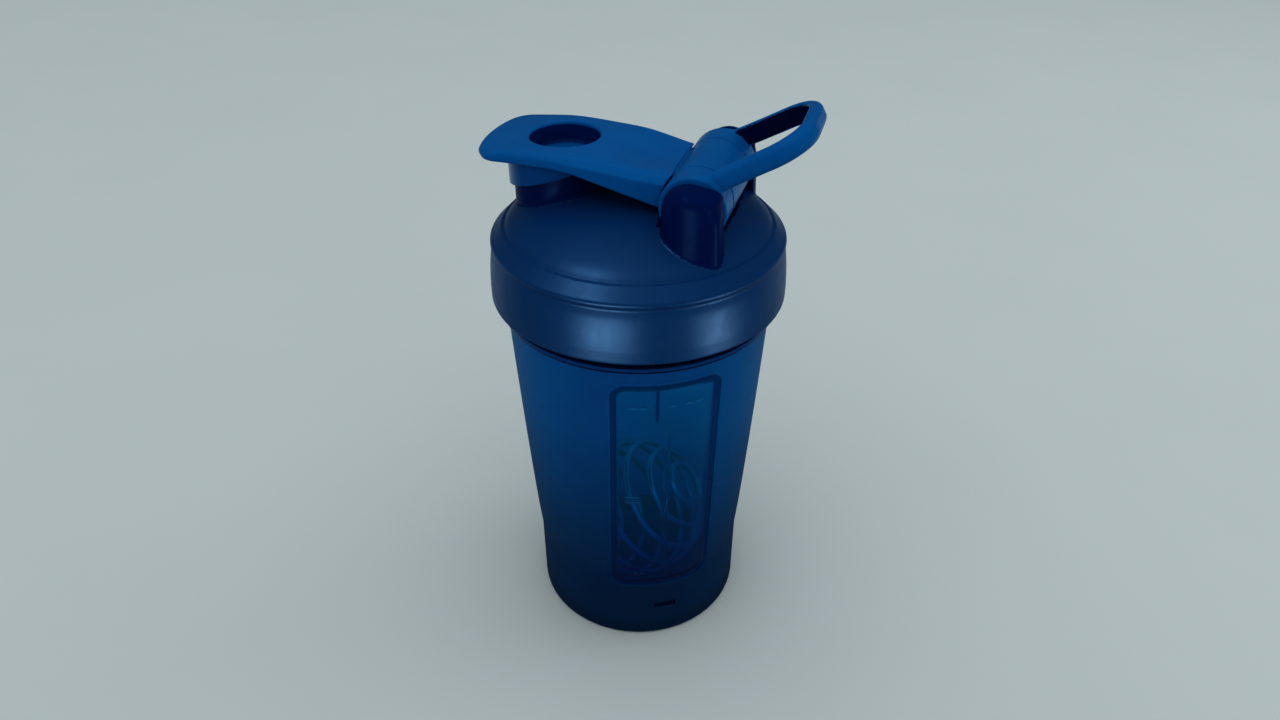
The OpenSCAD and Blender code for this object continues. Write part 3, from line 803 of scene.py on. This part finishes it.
# Heights of the outer rows: close together at the window's ends, the slot, the marks and the notch.
row_heights = [np.arange(*span) for span in (
    (1.5, 12, 1.5), (12, 16.2, 0.22), (17, 23.6, 1.3), (23.6, 29.4, 0.28), (30.4, 32.2, 0.2),
    (33, 64, 1.6), (64.6, 68.8, 0.13), (69.8, 98, 1.6), (98, 99.4, 0.3), (100, 103, 1.0),
    (103, 104.8, 0.18), (105.6, 108, 1.0), (108, 114, 0.28), (114.4, 117.2, 0.9))]
outside = [(float(cup_r(z)), float(z)) for z in np.unique(np.round(np.concatenate(row_heights), 3))]
profile = [(0, 0.9), (22, 0.9), (24, 0.35), (26, 0.0), (BASE_R - 1.5, 0)]
profile += arc(BASE_R - 1.5, 1.5, 1.5, -80, -10, 5) + outside
outer_rows = len(profile) - 2
profile += [(SHOULDER_R, FLANGE_Z - 0.2), (FLANGE_R - 0.75, FLANGE_Z + 0.05)]
profile += arc(FLANGE_R - 0.9, FLANGE_Z + 0.95, 0.9, -80, 0, 4)
profile += arc(FLANGE_R - 0.9, FLANGE_Z + 2.05, 0.9, 0, 85, 4)
profile += [(NECK_R + 0.5, FLANGE_Z + 3.0)]
profile += [(NECK_R, z) for z in np.arange(FLANGE_Z + 3.3, RIM_Z - 0.6, 0.32)]
neck_rows = len(profile) - 2
profile += arc(NECK_R - 0.6, RIM_Z - 0.6, 0.6, 5, 90, 4)
profile += arc(NECK_R - WALL + 0.5, RIM_Z - 0.5, 0.5, 90, 180, 4) + [(NECK_R - WALL, FLANGE_Z + 3)]
profile += [(float(cup_r(z)) - WALL, float(z)) for z in np.linspace(FLANGE_Z + 1.0, FOOT_H, 40)]
profile += [(BASE_R - WALL, z) for z in (20, 12, FLOOR + 3.2)]
profile += arc(BASE_R - WALL - 3, FLOOR + 3, 3, 0, -90, 6) + [(20, FLOOR), (8, FLOOR), (0, FLOOR)]

# Columns are close together over the window; there they stand even at EVEN_R and are bent to run straight up.
FINE_TURN, PLAIN_TURN, EVEN_R = 28.4, 52, 38
turns = np.concatenate([np.arange(-FINE_TURN, FINE_TURN + 0.01, 0.4), np.arange(FINE_TURN + 2.1, 330, 2.7)])
columns = WINDOW_TURN + np.radians(turns)


def cup_bend(angle, z):
    """Turns the columns near the window so that each runs straight up its flat outline."""
    turn = window_turn(angle)
    upright = np.arcsin(np.clip(EVEN_R * np.sin(turn) / cup_r(z), -1, 1))
    share = 1 - ramp(np.abs(turn), math.radians(FINE_TURN + 0.1), math.radians(PLAIN_TURN))
    return WINDOW_TURN + turn + (upright - turn) * share


def cup_choose(c):
    """0 frosted, 1 polished (window and inside), 2 bead, groove and notch, 3 marks, 4 slot and flange;
    groove, notch, slot and flange carry painted shade, the bead a painted highlight line and the marks
    painted glints.
    """
    r, z = np.hypot(c[:, 0], c[:, 1]), c[:, 2]
    across = off_middle(np.arctan2(c[:, 1], c[:, 0]), r)
    q = window(across, z)
    inside = (r < cup_r(z) - 1.3) & (z > 2.0)
    out = np.where((q < -0.4) | inside, 1, 0)
    # The groove's band of painted shade widens above 26 mm and from 8 mm across the middle line.
    groove = (q < -0.4) & (q > -1.3 - 1.0 * ramp(z, 26, 60) - 1.0 * ramp(across, 8, 12))
    notch = bar(across, z, NOTCH[0] - 0.15, NOTCH[1] + 0.15, *NOTCH[2:]) > 0.4
    bead = (z > FLANGE_Z - 0.4) & (r > SHOULDER_R - 1.5)
    out = np.where((groove | notch | bead) & ~inside, 2, out)
    # Painted glints on the raised marks.
    mark = sum(bar(across, z, *edges) for edges in MARKS) > 0.4
    out = np.where(mark & ~inside, 3, out)
    # Painted shade on the flange under the lid, all but a strip round its middle left as a painted highlight
    # line, and in the foot slot.
    flange = (z > FLANGE_Z - 0.1) & (z < FLANGE_Z + 3.2) & (r > NECK_R + 0.4)
    shade = flange & (np.abs(z - FLANGE_Z - 1.5) > 0.4)
    slot = bar(across, z, *SLOT) > 0.4
    return np.where((shade | slot) & ~inside, 4, out)


points, faces = revolve(profile, columns, cup_shift, cup_bend)
cup = piece("cup", points, faces, [FROST, CLEAR, BEAD, MARK, PAINTED_SHADE_BLUE], None, cup_choose)
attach(cup, "cup")
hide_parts("cup_body")

# ---------------------------------------------------------------- seal and pin
SEAL_IN, SEAL_EDGE = 37.7, 0.45
seal_profile = []
for cx, cz, start in ((SEAL_HI[0] - SEAL_EDGE, SEAL_LO[2] + SEAL_EDGE, -90),
                      (SEAL_HI[0] - SEAL_EDGE, SEAL_HI[2] - SEAL_EDGE, 0),
                      (SEAL_IN + SEAL_EDGE, SEAL_HI[2] - SEAL_EDGE, 90),
                      (SEAL_IN + SEAL_EDGE, SEAL_LO[2] + SEAL_EDGE, 180)):
    seal_profile += arc(cx, cz, SEAL_EDGE, start, start + 90, 4)
points, faces = revolve(seal_profile, np.radians(np.arange(0, 360, 2.5)))
seal = piece("seal_ring", points, faces, [SEAL])
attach(seal, "seal")
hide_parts("lid_seal")

PIN_EDGE = 0.4
pin_profile = [(0, -PIN_HALF), (PIN_R - 0.5, -PIN_HALF)]
pin_profile += arc(PIN_R - PIN_EDGE, -PIN_HALF + PIN_EDGE, PIN_EDGE, -90, 0, 4)
pin_profile += [(PIN_R, z) for z in np.linspace(-PIN_HALF + 1, PIN_HALF - 1, 12)]
pin_profile += arc(PIN_R - PIN_EDGE, PIN_HALF - PIN_EDGE, PIN_EDGE, 0, 90, 4) + [(0, PIN_HALF)]
points, faces = revolve(pin_profile, np.radians(np.arange(0, 360, 10)))
points = np.stack([points[:, 0] + HINGE_X, -points[:, 2], points[:, 1] + HINGE_Z], 1)
pin = piece("pin", points, faces, [STEEL])
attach(pin, "lid")
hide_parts("hinge_pin")

# ---------------------------------------------------------------- whisk ball
BALL_R, WIRE_R, BALL_TURNS, BALL_LEAN = 24.8, 1.1, 8, math.radians(51)
BALL_C = np.array([0, 0, FLOOR + BALL_R + 0.4])
WIRE_STEPS, WIRE_SIDES = BALL_TURNS * 56, 12


def ball_path(s):
    """Points on a spiral from pole to pole of a sphere, for shares s of the way."""
    lat, a, r = np.radians(-80 + 160 * s), 2 * math.pi * BALL_TURNS * s, BALL_R - WIRE_R
    return np.stack([r * np.cos(lat) * np.cos(a), r * np.cos(lat) * np.sin(a), r * np.sin(lat)], 1)


def wire_ball():
    """Points and faces of the wire: a round section along the path, with blunt ends, and leant over."""
    s = np.linspace(0, 1, WIRE_STEPS + 1)
    centre = ball_path(s)
    outward = unit(centre)
    across = np.cross(unit(ball_path(s + 0.0005) - ball_path(s - 0.0005)), outward)
    angle = np.linspace(0, 2 * math.pi, WIRE_SIDES, endpoint=False)[None, :, None]
    from_end = np.clip(np.minimum(s, 1 - s) * WIRE_STEPS / 2, 0, 1)
    wide = (WIRE_R * np.sqrt(1 - (1 - from_end) ** 2 * 0.9))[:, None, None]
    rings = centre[:, None] + wide * (np.cos(angle) * outward[:, None] + np.sin(angle) * across[:, None])
    lean = np.array([[math.cos(BALL_LEAN), 0, math.sin(BALL_LEAN)], [0, 1, 0],
                     [-math.sin(BALL_LEAN), 0, math.cos(BALL_LEAN)]])
    faces = []
    for i in range(WIRE_STEPS):
        here, ahead = i * WIRE_SIDES, (i + 1) * WIRE_SIDES
        for k in range(WIRE_SIDES):
            k2 = (k + 1) % WIRE_SIDES
            faces.append([here + k, ahead + k, ahead + k2, here + k2])
    faces += [list(range(WIRE_SIDES)), [WIRE_STEPS * WIRE_SIDES + k for k in range(WIRE_SIDES)][::-1]]
    return rings.reshape(-1, 3) @ lean.T + BALL_C, faces


ball = piece("whisk_wire", *wire_ball(), [STEEL])
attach(ball, "ball")
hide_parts("whisk_ball")

# ---------------------------------------------------------------- floor
bpy.ops.mesh.primitive_plane_add(size=6)
floor = bpy.context.object
floor.name = "floor"
floor_mat, tree, shader = node_tools("pale_floor")
pale = blend_colour(tree, spread(tree, noise(tree, 9), 0, 1), (0.53, 0.572, 0.58), (0.52, 0.562, 0.57))

# In reflections the floor in front of the bottle is painted darker, as shade, fading out over DIM_DEPTH
# behind its foot.
VIEW_WAY, DIM_DEPTH, DIM_FLOOR = (-0.3, 0.954, 0), 0.22, (0.16, 0.20, 0.24)
place = tree.nodes.new("ShaderNodeNewGeometry")
ahead = tree.nodes.new("ShaderNodeVectorMath")
ahead.operation = "DOT_PRODUCT"
tree.links.new(place.outputs["Position"], ahead.inputs[0])
ahead.inputs[1].default_value = VIEW_WAY
near = spread(tree, ahead.outputs["Value"], 1, 0, 0.0, DIM_DEPTH)
dim = tree.nodes.new("ShaderNodeMath")
dim.operation = "MULTIPLY"
tree.links.new(mirrored(tree), dim.inputs[0])
tree.links.new(near, dim.inputs[1])
tree.links.new(blend_colour(tree, dim.outputs["Value"], pale, DIM_FLOOR), shader.inputs["Base Color"])
shader.inputs["Roughness"].default_value = 0.6
shader.inputs["Specular IOR Level"].default_value = 0.0
floor.data.materials.append(floor_mat)

# ---------------------------------------------------------------- light
VIEW_TURN = math.radians(17.5)


def facing(right, toward, up):
    """A place in metres from the bottle's foot: to the right of the view, towards the viewer, and up."""
    return Vector((right * math.cos(VIEW_TURN) + toward * math.sin(VIEW_TURN),
                   right * math.sin(VIEW_TURN) - toward * math.cos(VIEW_TURN), up))


def soft_light(name, place, aim, wide, tall, power, only=None, shine=True):
    """A rectangular light. Given only, it makes just highlights, on those pieces; shine=False makes none."""
    light = bpy.data.lights.new(name, "AREA")
    light.shape = "RECTANGLE"
    light.size, light.size_y, light.energy = wide, tall, power
    ob = bpy.data.objects.new(name, light)
    ob.location = facing(*place)
    ob.rotation_mode = "QUATERNION"
    ob.rotation_quaternion = (facing(*aim) - ob.location).to_track_quat("-Z", "Y")
    ob.visible_camera = False
    ob.visible_glossy = shine
    if only:
        ob.visible_diffuse = False
        lit = bpy.data.collections.new(name)
        for target in only:
            lit.objects.link(target)
        ob.light_linking.receiver_collection = lit
    bpy.context.scene.collection.objects.link(ob)


soft_light("top", (-0.25, 0.60, 1.9), (0, 0.25, 0), 2.6, 2.6, 7.0)
soft_light("dome", (-0.42, 0.33, 0.86), (0, 0, 0.14), 0.22, 0.22, 1.7, [lid])
soft_light("low_left", (-0.12, 0.29, 0.018), (0, 0.04, 0.12), 0.16, 0.03, 0.45, [lid, ball])
soft_light("low_right", (0.225, 0.165, 0.018), (0.03, 0.03, 0.12), 0.10, 0.03, 0.19, [lid, ball])
soft_light("side", (0.9, -0.2, 0.7), (0, 0, 0.08), 0.6, 0.6, 0.8, None, False)

# The world lights the scene at the first strength and shows in reflections at the second.
WORLD_LIGHT, WORLD_MIRRORED = 0.56, 0.07
world = bpy.data.worlds.new("studio")
bpy.context.scene.world = world
world.use_nodes = True
background = world.node_tree.nodes["Background"]
background.inputs["Color"].default_value = (0.95, 1.0, 1.0, 1)
strength = spread(world.node_tree, mirrored(world.node_tree), WORLD_LIGHT, WORLD_MIRRORED, 0, 1)
world.node_tree.links.new(strength, background.inputs["Strength"])

# ---------------------------------------------------------------- camera
camera = bpy.data.objects.new("camera", bpy.data.cameras.new("camera"))
camera.location = (0.0727, -0.2306, 0.2612)
camera.rotation_euler = [math.radians(v) for v in (55.235, 0, 17.386)]
camera.data.lens = 25.3125
camera.data.sensor_width = 36
camera.data.clip_start = 0.01
bpy.context.scene.collection.objects.link(camera)
bpy.context.scene.camera = camera
bpy.context.scene.view_settings.view_transform = "Standard"
bpy.context.scene.view_settings.look = "High Contrast"
